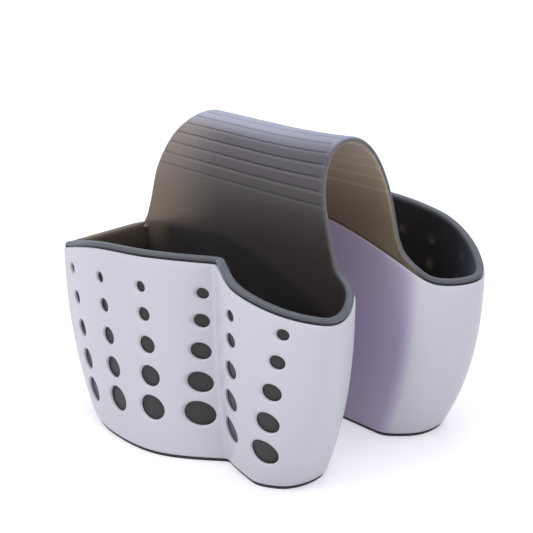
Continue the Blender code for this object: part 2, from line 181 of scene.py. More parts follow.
def on_course(points, sharp, place, closed=True):
    count = len(points)
    arriving, leaving = knot_slopes(points, sharp, closed)
    first = int(place) % count
    last = (first + 1) % count
    t = place - int(place)
    start, end, leave, arrive = points[first], points[last], leaving[first], arriving[last]
    loose_start = first in sharp or (not closed and first == 0)
    loose_end = last in sharp or (not closed and last == count - 1)
    if loose_start and not loose_end:
        leave = (3 * (end - start) - arrive) / 2
    if loose_end and not loose_start:
        arrive = (3 * (end - start) - leave) / 2
    return ((2 * t**3 - 3 * t**2 + 1) * start + (t**3 - 2 * t**2 + t) * leave
            + (3 * t**2 - 2 * t**3) * end + (t**3 - t**2) * arrive)


# %% [markdown]
# A ring is one level line of the wall. The wall leans out like a bowl, so the
# ring is blended between the base and the rim outline, moved inwards by the
# thickness that lies outside it, and its corners are rounded. Every ring of a
# basket has the same number of points, so rings can be joined one to one.

# %% Helpers for rings
column_pitch = 0.0022
first_knot = 2
stretch_end_share = 0.999
# A corner takes this many columns on each side, and its arc has this many steps.
window, arc_steps = 5, 8
tangent_share, longest_trim_share = 0.6, 0.85
smallest_radius = 0.0006


def along_line(line, distances):
    steps = np.linalg.norm(np.diff(line[:, :2], axis=0), axis=1)
    lengths = np.concatenate(([0.0], np.cumsum(steps)))
    return np.column_stack([np.interp(distances, lengths, line[:, axis]) for axis in range(3)])


def line_length(line):
    return np.linalg.norm(np.diff(line[:, :2], axis=0), axis=1).sum()


def rounded_corner(arriving, leaving, radius):
    # Both lines start at the corner. Returns the points from one end to the other.
    far_one, far_two = line_length(arriving), line_length(leaving)
    reach = min(far_one, far_two)
    one = along_line(arriving, [reach * tangent_share])[0] - arriving[0]
    two = along_line(leaving, [reach * tangent_share])[0] - leaving[0]
    cosine = -(one[:2] @ two[:2]) / np.linalg.norm(one[:2]) / np.linalg.norm(two[:2])
    turn = acos(max(-1.0, min(1.0, cosine)))
    trim = min(radius * tan(turn / 2), reach * longest_trim_share)
    side_one = along_line(arriving, np.linspace(far_one, trim, window + 1)[:-1])
    side_two = along_line(leaving, np.linspace(trim, far_two, window + 1)[1:])
    start, end = along_line(arriving, [trim])[0], along_line(leaving, [trim])[0]
    t = np.linspace(0, 1, arc_steps + 1)[:, None]
    arc = (1 - t)**2 * start + 2 * t * (1 - t) * arriving[0] + t**2 * end
    return np.vstack((side_one, arc, side_two))


def set_in(plan, setback):
    before = plan - np.roll(plan, 1, axis=0)
    after = np.roll(plan, -1, axis=0) - plan
    before /= np.linalg.norm(before, axis=1)[:, None]
    after /= np.linalg.norm(after, axis=1)[:, None]
    normal_before = np.column_stack((before[:, 1], -before[:, 0]))
    normal_after = np.column_stack((after[:, 1], -after[:, 0]))
    share = 1 + (normal_before * normal_after).sum(axis=1)
    return plan + (normal_before + normal_after) / share[:, None] * setback


# %% [markdown]
# The shell, the liner and the foot of a basket all follow one wall. So the wall
# is one object that answers questions: where the ring at this height runs, and
# how far out the outer face stands.

# %% A basket's wall
class Wall:
    """The wall of one basket. side is -1 for the front basket, 1 for the back."""

    def __init__(self, side, knots, corners):
        self.side, self.knots, self.corners = side, knots, corners
        self.places = []
        for step in range(len(knots)):
            knot = first_knot + step
            start, end = (self.at(knot + share)[:2] for share in (0, stretch_end_share))
            count = max(3, round(np.linalg.norm(end - start) / column_pitch))
            self.places += [knot + share / count for share in range(count)]
        self.samples = np.array([self.at(place) for place in self.places])
        self.rim = self.samples[:, 4]
        self.corner_samples = {}
        for corner in corners:
            turn = corner if corner >= first_knot else corner + len(knots)
            self.corner_samples[corner] = self.places.index(turn)

    def at(self, place):
        return on_course(self.knots, self.corners, place)

    def plan(self, samples, heights):
        rise = np.clip((heights - shell_bottom) / (samples[:, 4] - shell_bottom), 0, 1)
        lean = 1 - (1 - rise) ** bowl_power
        return samples[:, 2:4] + (samples[:, 0:2] - samples[:, 2:4]) * lean[:, None]

    def depth_at(self, x, height):
        # How far out the outer face stands at x, up to the small lobe's tip.
        turn = len(self.knots)
        order = [index for index, place in enumerate(self.places) if place >= turn + left_corner]
        order += [index for index, place in enumerate(self.places) if place <= lobe_tip]
        line = self.plan(self.samples[order], np.full(len(order), height))
        return np.interp(x, line[:, 0], line[:, 1])

    def ring(self, heights, setback):
        # Columns: x before centring, depth behind the flat wall, height.
        heights = np.broadcast_to(heights, len(self.samples)).astype(float)
        plan = self.plan(self.samples, heights)
        line = np.column_stack((set_in(plan, setback), heights))
        pieces, done = [], 0
        for corner, middle in sorted(self.corner_samples.items(), key=lambda pair: pair[1]):
            grows = 1 if corner == crease else -1
            radius = max(corner_rounds[corner] + grows * setback, smallest_radius)
            pieces.append(line[done:middle - window])
            pieces.append(rounded_corner(line[middle - window:middle + 1][::-1],
                                         line[middle:middle + window + 1], radius))
            done = middle + window + 1
        pieces.append(line[done:])
        return np.vstack(pieces)

    def arc(self, corner):
        # First and last column of a rounded corner.
        order = sorted(self.corners, key=lambda name: self.corner_samples[name])
        first = self.corner_samples[corner] + order.index(corner) * arc_steps
        return first, first + arc_steps

    def heights(self, share):
        return shell_bottom + share * (self.rim - shell_bottom)

    def stand(self, ring):
        # From x, depth and height to places in the world.
        return np.column_stack((ring[:, 0] - part_middle,
                                self.side * (flat_wall_y + ring[:, 1]), ring[:, 2]))


front_wall = Wall(-1, front_knots, (strap_corner, left_corner, crease, kink))
back_wall = Wall(1, back_knots, (strap_corner, left_corner, kink))
rim_x = np.concatenate([wall.ring(wall.rim, 0.0)[:, 0] for wall in (front_wall, back_wall)])
part_middle = (rim_x.min() + rim_x.max()) / 2
print("the strap's middle lies", round(part_middle * 1000, 2), "mm off centre")


# %% [markdown]
# Rings are joined the way a modeller would do it by hand: a circle is added,
# its edge is extruded, and the new edge is pushed to its own outline, ring by
# ring. A small number kept on each point says which column it belongs to, and
# extruding copies that number.

# %% Extruding ring by ring
smooth_angle = radians(32)
merge_distance = 0.000005


def pick(*pieces):
    # Only these are selected, and the first of them is active.
    if bpy.context.object and bpy.context.object.mode == "EDIT":
        bpy.ops.object.mode_set(mode="OBJECT")
    bpy.ops.object.select_all(action="DESELECT")
    for piece in pieces:
        piece.select_set(True)
    if pieces:
        bpy.context.view_layer.objects.active = pieces[0]


def start_ring(name, points):
    pick()
    bpy.ops.mesh.primitive_circle_add(vertices=len(points), radius=rim_width / 2)
    piece = bpy.context.object
    piece.name = piece.data.name = name
    bpy.ops.object.mode_set(mode="EDIT")
    bpy.ops.mesh.select_mode(type="EDGE")
    bpy.ops.mesh.select_all(action="SELECT")
    builder = bmesh.from_edit_mesh(piece.data)
    layer = builder.verts.layers.int.new("column")
    for index, point in enumerate(builder.verts):
        point[layer] = index
        point.co = points[index]
    bmesh.update_edit_mesh(piece.data)
    return piece


def next_ring(piece, points):
    bpy.ops.mesh.extrude_edges_move()
    builder = bmesh.from_edit_mesh(piece.data)
    layer = builder.verts.layers.int["column"]
    for point in builder.verts:
        if point.select:
            point.co = points[point[layer]]
    bmesh.update_edit_mesh(piece.data)


def finish_mesh(piece):
    bpy.ops.mesh.select_all(action="SELECT")
    bpy.ops.mesh.remove_doubles(threshold=merge_distance)
    bpy.ops.mesh.normals_make_consistent(inside=False)
    bpy.ops.object.mode_set(mode="OBJECT")
    bpy.ops.object.shade_smooth_by_angle(angle=smooth_angle)
    print(piece.name, len(piece.data.polygons), "faces")


def tube_of_rings(name, rings):
    piece = start_ring(name, rings[0])
    for ring in rings[1:]:
        next_ring(piece, ring)
    # The first and the last ring are the two open edges that are left.
    bpy.ops.mesh.select_all(action="DESELECT")
    bpy.ops.mesh.select_non_manifold()
    bpy.ops.mesh.bridge_edge_loops()
    finish_mesh(piece)
    return piece


def join_all(pieces):
    pick(*pieces)
    bpy.ops.object.join()
    return pieces[0]


def cut(piece, cutter):
    pick(piece)
    modifier = piece.modifiers.new("Cut", "BOOLEAN")
    modifier.solver = "EXACT"
    modifier.object = cutter
    bpy.ops.object.modifier_apply(modifier=modifier.name)
    bpy.data.objects.remove(cutter, do_unlink=True)
    bpy.ops.object.shade_smooth_by_angle(angle=smooth_angle)


# %% [markdown]
# The shell is one injection moulding, 1.5 mm thick. Its rings run up the outer
# face, over a softly rounded top edge, down the inner face and round a narrow
# ledge that the foot is fixed to. The lower outer edge has a small round too,
# which is what draws the thin dark line above the worktop.

# %% Hard shells
wall_rows, row_power = 37, 1.25
wall_shares = np.linspace(0.0, 1.0, wall_rows)[1:-1] ** row_power
# Rise above the bottom, or drop below the rim, and setback from the outer face.
lower_round = ((0.0, 0.0011), (0.0003, 0.0004), (0.0009, 0.0))
upper_round = ((0.0006, 0.0), (0.0002, 0.0001), (0.0, 0.0005),
               (0.0, shell_wall - 0.0004), (0.0004, shell_wall))


def shell_rings(wall):
    steps = [(shell_bottom + rise, setback) for rise, setback in lower_round]
    steps += [(wall.heights(share), 0.0) for share in wall_shares]
    steps += [(wall.rim - drop, setback) for drop, setback in upper_round]
    steps += [(wall.heights(share), shell_wall) for share in wall_shares[::-2]]
    steps += [(ledge_top, shell_wall), (ledge_top, shell_wall + ledge_width),
              (shell_bottom, shell_wall + ledge_width)]
    return [wall.stand(wall.ring(height, setback)) for height, setback in steps]


front_shell = tube_of_rings("front_shell_moulding", shell_rings(front_wall))
back_shell = tube_of_rings("back_shell_moulding", shell_rings(back_wall))

# %% [markdown]
# Thirty round holes drain each shell, in six slanting columns of five. They
# grow downwards, from a pea to a thumbprint. All of them are drilled the way
# the mould opens, straight away from the flat wall, so they look round from
# the front and narrow where the wall turns away. Each has a fine rounded lip.
# One cutter per hole is extruded ring by ring, its lip laid on the curved
# wall, and one Boolean cuts them all.

# %% Round holes
top_row_height, bottom_row_height = 0.0856, 0.0254
top_hole, bottom_hole = 0.0053, 0.0128
hole_rows, hole_growth_power, hole_size_power = 5, 1.08, 1.2
hole_points, cutter_reach = 40, 0.014
# Offset from the outer face and extra radius, from inside the wall up to the lip's edge.
lip_profile = ((-0.0009, 0.0), (-0.00055, 0.0001), (-0.0002, 0.0004), (0.0, 0.0007))
# Place at the top, middle and bottom row, drop, and how the rows crowd.
front_hole_shares = (
    (0.035, 0.053, 0.06, 0.068, 0.98), (0.122, 0.135, 0.1445, 0.025, 1.0),
    (0.209, 0.2165, 0.219, 0.0045, 1.01), (0.311, 0.305, 0.297, 0.0025, 1.01),
    (0.549, 0.5395, 0.5, 0.0095, 1.1), (0.673, 0.6525, 0.649, 0.047, 1.02))
back_hole_shares = (
    (0.036, 0.049, 0.057, 0.068, 1.0), (0.106, 0.117, 0.122, 0.03, 1.0),
    (0.189, 0.193, 0.194, 0.0, 1.0), (0.283, 0.278, 0.272, 0.0, 1.0),
    (0.386, 0.376, 0.378, 0.012, 1.0), (0.561, 0.53, 0.522, 0.026, 1.0))


def hole_place(column, growth):
    top, middle, bottom = (left_corner + share * (kink - left_corner) for share in column[:3])
    halfway = 0.5 ** hole_growth_power
    rise = (middle - top) / halfway
    bend = ((bottom - top) - rise) / (1 - halfway)
    return top + growth * (rise + bend * (growth - halfway))


def hole_spot(wall, column, row):
    # Middle on the outer face, as x, depth and height, and the diameter.
    share = row / (hole_rows - 1)
    growth = share ** (hole_growth_power * column[4])
    height = top_row_height + growth * (bottom_row_height - top_row_height)
    height -= column[3] * rim_height
    x, depth = wall.plan(wall.at(hole_place(column, growth))[None, :], np.array([height]))[0]
    return (x, depth, height), top_hole + share**hole_size_power * (bottom_hole - top_hole)


def hole_cutter(wall, column, row):
    (x, _, height), diameter = hole_spot(wall, column, row)
    # Offset, extra radius, and whether the ring follows the wall's curve.
    stations = [(-cutter_reach, lip_profile[0][1], 0)]
    stations += [(offset, wider, 1) for offset, wider in lip_profile]
    stations.append((cutter_reach, lip_profile[-1][1], 0))
    rings = []
    for offset, wider, follows in stations:
        ring = []
        for step in range(hole_points):
            angle = 2 * pi * step / hole_points
            sideways = cos(angle) * (diameter / 2 + wider)
            upwards = sin(angle) * (diameter / 2 + wider)
            depth = wall.depth_at(x + follows * sideways, height + follows * upwards) + offset
            ring.append((x + sideways, depth, height + upwards))
        rings.append(wall.stand(np.array(ring)))
    piece = start_ring("hole_cutter", rings[0])
    bpy.ops.mesh.edge_face_add()
    for ring in rings[1:]:
        next_ring(piece, ring)
    bpy.ops.mesh.edge_face_add()
    bpy.ops.mesh.select_all(action="SELECT")
    bpy.ops.mesh.normals_make_consistent(inside=False)
    bpy.ops.object.mode_set(mode="OBJECT")
    return piece


for shell, wall, hole_shares in ((front_shell, front_wall, front_hole_shares),
                                 (back_shell, back_wall, back_hole_shares)):
    cutters = [hole_cutter(wall, column, row) for column in hole_shares for row in range(hole_rows)]
    print(len(cutters), "holes for", shell.name)
    cut(shell, join_all(cutters))

# %% [markdown]
# The foot is a soft ring, set back a millimetre under the shell, so it shows
# only as a dark line on the worktop. It is six rings of the same wall, bridged.

# %% Foot rings
foot_round = 0.0003


def foot_rings(wall):
    inner = foot_setback + foot_width
    steps = ((0.0, foot_setback + foot_round), (foot_round, foot_setback),
             (foot_height, foot_setback), (foot_height, inner),
             (foot_round, inner), (0.0, inner - foot_round))
    return [wall.stand(wall.ring(height, setback)) for height, setback in steps]


front_foot = tube_of_rings("front_foot_ring", foot_rings(front_wall))
back_foot = tube_of_rings("back_foot_ring", foot_rings(back_wall))

# %% [markdown]
# The soft moulding is one sheet with one long edge. Seen from one basket, the
# sheet is a cup whose flat wall goes on upwards as the strap, up to the middle
# of the crown. Its edge is a rolled bead round the rim, which turns upwards at
# both ends of the flat wall and becomes the rounded side of the strap.
#
# The way to model it: extrude the cup's inner face ring by ring, go on with
# the strap's columns alone, make the outer face the same way, and join the
# two along the edge with a rounded band. Each basket gets its own half, and
# the halves are welded at the middle of the crown.

# %% The strap's edges and its crown
# Shares of the crown's height, and of half the top width to the left and right.
strap_edge_shares = (
    (1.0, 1.01, 0.996), (0.947, 1.12, 1.036), (0.867, 1.232, 1.096), (0.787, 1.338, 1.168),
    (0.707, 1.416, 1.236), (0.627, 1.484, 1.308), (0.6, 1.505, 1.33), (0.58, 1.51, 1.345))
edge_steps, last_stretch_share = 80, 0.9999


def strap_edge(column):
    edge_knots = np.array(strap_edge_shares)[:, (0, column)] * (crown_height, strap_top_width / 2)
    places = np.linspace(0, len(edge_knots) - 2 + last_stretch_share, edge_steps)
    return np.array([on_course(edge_knots, (), place, closed=False) for place in places])[::-1]


left_edge, right_edge = strap_edge(1), strap_edge(2)


def edges_at(height):
    return (-np.interp(height, left_edge[:, 0], left_edge[:, 1]),
            np.interp(height, right_edge[:, 0], right_edge[:, 1]))


arch_points = 721
arch_angles = np.linspace(-pi / 2, 0, arch_points)
arch_line = np.column_stack((
    strap_outer_y * np.abs(np.sin(arch_angles)) ** (2 / arch_power),
    spring_height + arch_rise * np.abs(np.cos(arch_angles)) ** (2 / arch_power)))
arch_lengths = np.concatenate(([0.0], np.cumsum(
    np.linalg.norm(np.diff(arch_line, axis=0), axis=1))))
crown_length = 2 * arch_lengths[-1]
first_groove = (crown_length - groove_pitch * (groove_count - 1)) / 2
groove_middles = [first_groove + groove_pitch * step for step in range(groove_count)]
print("crown", round(crown_length * 1000, 1), "mm over;", groove_count, "grooves")


# %% [markdown]
# The grooves let the strap bend like a hinge. They are real dents in the mesh, so
# the crown has a row of points wherever a groove begins, deepens or ends, and a
# few more on the lands between them. They are cut only from the upper face.

# %% Stations up half the crown
# Across a groove and the land after it: shares of its width and of its depth.
groove_shares = (
    (-0.5, 0.0), (-0.3, 0.55), (-0.1, 1.0), (0.1, 1.0), (0.3, 0.55),
    (0.5, 0.0), (1.5, 0.0), (2.7, 0.0), (3.7, 0.0))


def crown_stations():
    # Length along the crown and how deep the groove is there.
    stations = [(first_groove * share, 0.0) for share in (0.2, 0.4, 0.6, 0.8)]
    for middle in groove_middles:
        for shift, depth in groove_shares:
            length = middle + shift * groove_width
            if length < arch_lengths[-1]:
                stations.append((length, depth))
    stations.append((arch_lengths[-1], 0.0))
    return stations


def on_arch(length):
    # Place on the arch and the outward direction, both as (distance from the middle, z).
    reach = 0.0008
    ends = [np.array([np.interp(np.clip(length + shift, 0, arch_lengths[-1]), arch_lengths,
                                arch_line[:, axis]) for axis in (0, 1)])
            for shift in (-reach, 0.0, reach)]
    forward = (ends[2] - ends[0]) / np.linalg.norm(ends[2] - ends[0])
    if length > arch_lengths[-1] - merge_distance:
        forward = np.array((-1.0, 0.0))
    return ends[1], np.array((forward[1], -forward[0]))


# %% [markdown]
# A sheet answers for one basket's half of the moulding. Its rows are lists of
# points on the inner and on the outer face: round the cup, up the legs and over
# the crown. The root line is where the faces end and the rolled edge begins.

# %% The sheet of one basket
edge_half = strap_thickness / 2
middle_setback = (inner_setback + liner_setback) / 2
root_guess, flat_row_height = 0.090, 0.1085
fillet_rise, fillet_share, fillet_steps = 0.0070, 0.75, 12
side_steps, leg_steps = 8, 5
cup_shares = np.linspace(0.05, 0.97, 26)
# Rise above the floor and setback from the cup's face, round the floor's edge.
floor_round = ((0.0, 0.0016), (0.0004, 0.0006), (0.0014, 0.0))
# Above the rim, the outer face gets from cup to strap in a twelfth of the leg.
thinning = 12
# How far a groove reaches towards each side of the strap, and how softly it ends.
left_reach, left_fade = 0.0002, 0.0006
right_reach, right_fade = -0.0004, 0.0012
# The rolled edge on the rim, and on the side of the strap.
bead_foot, bead_recess = 0.0016, 0.0006
side_foot, side_top = 0.0002, 0.0013
band_steps, band_power, mark_power = 15, 2 / 2.5, 6


class Sheet:
    """One half of the soft moulding: a cup and half of the strap."""

    def __init__(self, wall):
        self.wall = wall
        self.rims = {name: wall.ring(wall.rim, setback) for name, setback in (
            ("inner", inner_setback), ("outer", liner_setback), ("middle", middle_setback),
            ("strap", inner_setback - strap_thickness))}
        self.count = len(self.rims["middle"])
        self.first, self.last = wall.arc(kink)[0], wall.arc(strap_corner)[1]
        self.columns = np.arange(self.first, self.last + 1)
        steps = np.linalg.norm(np.diff(self.rims["middle"][:, :2], axis=0), axis=1)
        self.walk = np.concatenate(([0.0], np.cumsum(steps)))
        reach = self.walk[self.columns] - self.walk[self.first]
        self.share = reach / reach[-1]
        self.roots = {side: self.turn_up(side) for side in ("left", "right")}
        self.rows = {face: self.leg_rows(face) + self.crown_rows(face)
                     for face in ("inner", "outer")}

    def column_at_edge(self, height, side):
        # Place on the flat wall, counted in columns, below the strap's edge.
        left, right = edges_at(height)
        x = left + edge_half if side == "left" else right - edge_half
        flat = np.arange(self.first + 2, self.last - 1)
        return np.interp(-x, -self.rims["middle"][flat, 0], flat)

    def root_height(self, column):
        return np.interp(column, np.arange(self.count), self.rims["middle"][:, 2]) + piece_gap

    def walk_to(self, column):
        return np.interp(column, np.arange(self.count), self.walk)

    def turn_up(self, side):
        # The root line as (column, height, share of the way from rim to strap).
        end = self.last if side == "left" else self.first
        low = self.root_height(self.column_at_edge(root_guess, side))
        start = np.array((self.walk[end], 0.0))
        bend = np.array((self.walk_to(self.column_at_edge(low, side)), 0.0))
        up = np.array((self.walk_to(self.column_at_edge(low + fillet_rise, side)), fillet_rise))
        rows = []
        for t in np.linspace(0, 1, fillet_steps):
            distance, lift = (1 - t)**2 * start + 2 * t * (1 - t) * bend + t**2 * up
            column = np.interp(distance, self.walk, np.arange(self.count))
            rows.append((column, self.root_height(column) + lift, t * fillet_share))
        high = rows[-1][1]
        for t in np.linspace(0, 1, side_steps)[1:]:
            height = high + t * (flat_row_height - high)
            rows.append((self.column_at_edge(height, side), height, min(1.0, fillet_share + t)))
        return rows

    def cup_rows(self, face):
        wall, setback = self.wall, inner_setback if face == "inner" else liner_setback
        floor = ledge_top + piece_gap + (liner_floor if face == "inner" else 0.0)
        steps = [(floor + rise, setback + inset) for rise, inset in floor_round]
        steps += [(wall.heights(share), setback) for share in cup_shares]
        steps.append((wall.rim + piece_gap, setback))
        return [wall.stand(wall.ring(height, inset)) for height, inset in steps]

    def leg_rows(self, face):
        # Between the rim and the first level row, where the sides turn upwards.
        rows = []
        for left, right in list(zip(self.roots["left"], self.roots["right"]))[1:]:
            column = right[0] + self.share * (left[0] - right[0])
            climb = [(height - self.root_height(place)) / (flat_row_height - self.root_height(place))
                     for place, height, _ in (right, left)]
            climb = climb[0] + self.share * (climb[1] - climb[0])
            low = self.root_height(column)
            change = right[2] + self.share * (left[2] - right[2])
            line = self.on_rim(face, column)
            if face == "outer":
                blend = np.maximum(change, np.minimum(1, climb * thinning))[:, None]
                line = line * (1 - blend) + self.on_rim("strap", column) * blend
            line[:, 2] = low + climb * (flat_row_height - low)
            rows.append(self.wall.stand(line))
        return rows

    def on_rim(self, name, column):
        columns, ring = np.arange(self.count), self.rims[name]
        return np.column_stack([np.interp(column, columns, ring[:, axis]) for axis in range(3)])

    def strap_row(self, height, place, groove=0.0, outward=(0, 0)):
        left, right = edges_at(height)
        left, right = left + edge_half, right - edge_half
        x = right + self.share * (left - right)
        fade = np.minimum((x - left + left_reach) / left_fade, (right - x + right_reach) / right_fade)
        depth = groove * groove_depth * np.clip(fade, 0.0, 1.0)
        share = np.clip(x / (strap_top_width / 2), 0, 1)
        flare = crown_flare * share**2 * max(place[1] - spring_height, 0) / arch_rise
        return np.column_stack((x - part_middle, self.wall.side * (place[0] - outward[0] * depth),
                                place[1] - outward[1] * depth + flare))

    def crown_rows(self, face):
        rows = []
        for height in np.linspace(flat_row_height, spring_height, leg_steps)[1:]:
            y = strap_outer_y if face == "inner" else strap_outer_y - strap_thickness
            rows.append(self.strap_row(height, (y, height)))
        for length, groove in crown_stations():
            place, outward = on_arch(length)
            if face == "outer":
                rows.append(self.strap_row(place[1], place - outward * strap_thickness))
            else:
                rows.append(self.strap_row(place[1], place, groove, outward))
        return rows

    def extrude_face(self, name, face):
        cup = self.cup_rows(face)
        piece = start_ring(name, cup[0])
        bpy.ops.mesh.edge_face_add()
        bpy.ops.mesh.select_mode(type="EDGE")
        for ring in cup[1:]:
            next_ring(piece, ring)
        builder = bmesh.from_edit_mesh(piece.data)
        layer = builder.verts.layers.int["column"]
        for edge in builder.edges:
            ends = [point[layer] for point in edge.verts]
            on_strap = self.first <= min(ends) and max(ends) <= self.last
            edge.select_set(edge.select and on_strap)
        builder.select_flush_mode()
        bmesh.update_edit_mesh(piece.data)
        for row in self.rows[face]:
            full = np.zeros((self.count, 3))
            full[self.columns] = row
            next_ring(piece, full)
        bpy.ops.object.mode_set(mode="OBJECT")
        return piece

    def edge_walk(self):
        # Columns and rows of the root line: up one side of the strap, round the
        # rim and up the other side. Row 0 is the rim; strap rows count upwards.
        top = len(self.rows["inner"])
        right_side = [(self.first, row) for row in range(top, 0, -1)]
        left_side = [(self.last, row) for row in range(1, top + 1)]
        round_rim = [(column, 0) for column in range(self.first, -1, -1)]
        round_rim += [(column, 0) for column in range(self.count - 1, self.last - 1, -1)]
        return right_side + round_rim + left_side

    def root_points(self, face):
        rim = self.cup_rows(face)[-1]
        return np.array([rim[column] if row == 0 else self.rows[face][row - 1][column - self.first]
                         for column, row in self.edge_walk()])

    def strap_shares(self):
        # 0 on the rim, 1 on the strap, and between them where the edge turns.
        shares = []
        for column, row in self.edge_walk():
            root = self.roots["right" if column == self.first else "left"]
            shares.append(0.0 if row == 0 else (root[row][2] if row < len(root) else 1.0))
        return np.array(shares)

    def edge_band(self):
        # Rows of the rolled edge, from the inner face to the outer face.
        inner, outer = self.root_points("inner"), self.root_points("outer")
        to_strap = self.strap_shares()
        across = outer - inner
        across /= np.linalg.norm(across, axis=1)[:, None]
        forward = np.vstack(((0, self.wall.side, 0), inner[2:] - inner[:-2], (0, -self.wall.side, 0)))
        away = np.cross(forward, across)
        away /= np.linalg.norm(away, axis=1)[:, None]
        if away[len(away) // 2][2] < 0:
            away = -away
        for end in (0, -1):
            away[end][1] = 0.0
            across[end][:2] = 0.0
        width = bead_width + to_strap * (strap_thickness - bead_width)
        straight = (bead_foot - side_foot) * (1 - to_strap) + side_foot
        top = (bead_height - bead_foot) * (1 - to_strap) + side_top * to_strap
        recess = bead_recess * (1 - to_strap)
        rows, marks = [inner], []
        for angle in np.linspace(0, pi, band_steps):
            sideways = 0.5 - 0.5 * np.sign(cos(angle)) * abs(cos(angle)) ** band_power
            upwards = abs(sin(angle)) ** band_power
            rows.append(inner + across * (width * sideways)[:, None]
                        + away * (straight + top * upwards)[:, None])
            # The mark is the share of painted highlight: all of the bead on the rim, only the crest of the
            # roll on the strap's side.
            marks.append(1 - to_strap * (1 - sin(angle) ** mark_power))
        # Below the bead, the outer side steps in by the recess: share of the way
        # in, height as a share of the straight part, and mark. The zero marks leave
        # a painted shadow line under the bead.
        for inwards, up, mark in ((0, 0.60, 1.0), (1, 0.50, 0.0), (1, 0, 0.0)):
            rows.append(inner + across * (width - inwards * recess)[:, None]
                        + away * (straight * up)[:, None])
            marks.append(mark * (1 - to_strap))
        rows.append(outer)
        marks.append(0.0 * to_strap)
        return rows, marks


# %% [markdown]
# Both faces end in the same edge, point for point. The band between them is
# extruded from the inner face: over the bead on the rim, round the side of the
# strap, and home to the outer face. Each of its points is marked with how much
# painted highlight the finish gives it there.

# %% Extrude the faces and the rolled edge
def number_open_edge(piece, root):
    # Gives each point of the open edge its own number along the edge walk.
    builder = bmesh.from_edit_mesh(piece.data)
    layer = builder.verts.layers.int["column"]
    builder.verts.layers.float.new("rolled_highlight")
    inside = builder.verts.layers.float.new("inside")
    for point in builder.verts:
        point[layer] = -1
        point[inside] = 1.0
    for point in builder.verts:
        if point.is_boundary:
            distance = np.linalg.norm(root - np.array(point.co), axis=1)
            if distance.min() < 2 * merge_distance:
                point[layer] = int(distance.argmin())
    for edge in builder.edges:
        ends = [point[layer] for point in edge.verts]
        edge.select_set(edge.is_boundary and min(ends) >= 0 and abs(ends[0] - ends[1]) == 1)
    builder.select_flush_mode()
    bmesh.update_edit_mesh(piece.data)


def mark_rolled(piece, values):
    builder = bmesh.from_edit_mesh(piece.data)
    rolled_highlight, inside = (builder.verts.layers.float[name] for name in ("rolled_highlight", "inside"))
    number = builder.verts.layers.int["column"]
    for point in builder.verts:
        if point.select:
            point[rolled_highlight], point[inside] = values[point[number]], 0.0
    bmesh.update_edit_mesh(piece.data)


def half_moulding(name, wall):
    sheet = Sheet(wall)
    piece = sheet.extrude_face(name, "inner")
    outer_face = sheet.extrude_face(name + "_outside", "outer")
    pick(piece)
    bpy.ops.object.mode_set(mode="EDIT")
    bpy.ops.mesh.select_mode(type="EDGE")
    bpy.ops.mesh.select_all(action="DESELECT")
    band, marks = sheet.edge_band()
    number_open_edge(piece, band[0])
    for row, mark in zip(band[1:], marks):
        next_ring(piece, row)
        mark_rolled(piece, mark)
    bpy.ops.object.mode_set(mode="OBJECT")
    print(name, len(piece.data.vertices), "points")
    return join_all([piece, outer_face])


soft_moulding = join_all([half_moulding("soft_moulding", front_wall),
                          half_moulding("back_half", back_wall)])
bpy.ops.object.mode_set(mode="EDIT")
finish_mesh(soft_moulding)
checker = bmesh.new()
checker.from_mesh(soft_moulding.data)
print("open edges left:", sum(not edge.is_manifold for edge in checker.edges))
checker.free()

# %% [markdown]
# Small drains in the cups' floors let water out. They are plain round holes,
# made by pins in the mould.

# %% Drains
drain_length = 0.006
floor_middle = ledge_top + piece_gap + liner_floor / 2
drains = []
for side in (-1, 1):
    for row, columns in ((1, range(-2, 3)), (2, range(-2, 1))):
        for column in columns:
            pick()
            bpy.ops.mesh.primitive_cylinder_add(
                vertices=28, radius=drain_diameter / 2, depth=drain_length,
                location=(column * drain_pitch - part_middle,
                          side * (flat_wall_y + row * drain_pitch), floor_middle))
            drains.append(bpy.context.object)
cut(soft_moulding, join_all(drains))
print(len(drains), "drains;", len(soft_moulding.data.polygons), "faces in the moulding")

# %% [markdown]
# Each hard piece rides on its own basket. The soft moulding belongs to both, so
# it is blended from one to the other between the flat walls, and bends there.

# %% What each piece rides on and stands for
for piece, body, node, slot in ((front_shell, "front_basket", "front_shell", "shell_plastic"),
                                (back_shell, "back_basket", "back_shell", "shell_plastic"),
                                (front_foot, "front_basket", "front_foot", "foot_rubber"),
                                (back_foot, "back_basket", "back_foot", "foot_rubber")):
    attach(piece, body)
    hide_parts(node)
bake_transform(soft_moulding, "front_basket", "back_basket",
         start=(0, -0.0195, 0), end=(0, 0.0195, 0))
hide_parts("front_liner", "strap", "back_liner")

# %% [markdown]
# The rubber is given painted light and shade: the strap is smoky and is painted
# lighter for the light it lets through, and the cups are painted nearly black
# for the shade of the shell standing behind them, with painted light where a
# hole lets light in. Four numbers are kept on each point of the moulding, so
# that the finish can follow the shape: the height above the flat wall, the
# length along the crown, how far the point lies on the strap's underside,
# which is painted with a warm-brown glow of light shining through, and the
# nearness of a hole.

# %% Numbers for the finish
skin, far_below = 0.0006, -0.05
underside_start, underside_fade = 0.0008, 0.0014
spot_share, spot_depth = 0.62, 0.010


def keep_number(piece, name, values):
    attribute = piece.data.attributes.new(name, "FLOAT", "POINT")
    attribute.data.foreach_set("value", values.astype(np.float32))


points = np.empty(len(soft_moulding.data.vertices) * 3, dtype=np.float32)
soft_moulding.data.vertices.foreach_get("co", points)
points = points.reshape(-1, 3).astype(float)

flat = front_wall.samples[[place >= kink for place in front_wall.places]]
flat = flat[np.argsort(flat[:, 0])]
above_wall = points[:, 2] - np.interp(points[:, 0] + part_middle, flat[:, 0], flat[:, 4])
in_strap = np.abs(points[:, 1]) < strap_outer_y + skin
keep_number(soft_moulding, "above_wall", np.where(in_strap, above_wall, far_below))

along = points[:, 2] - spring_height
crown = np.flatnonzero(along > 0)
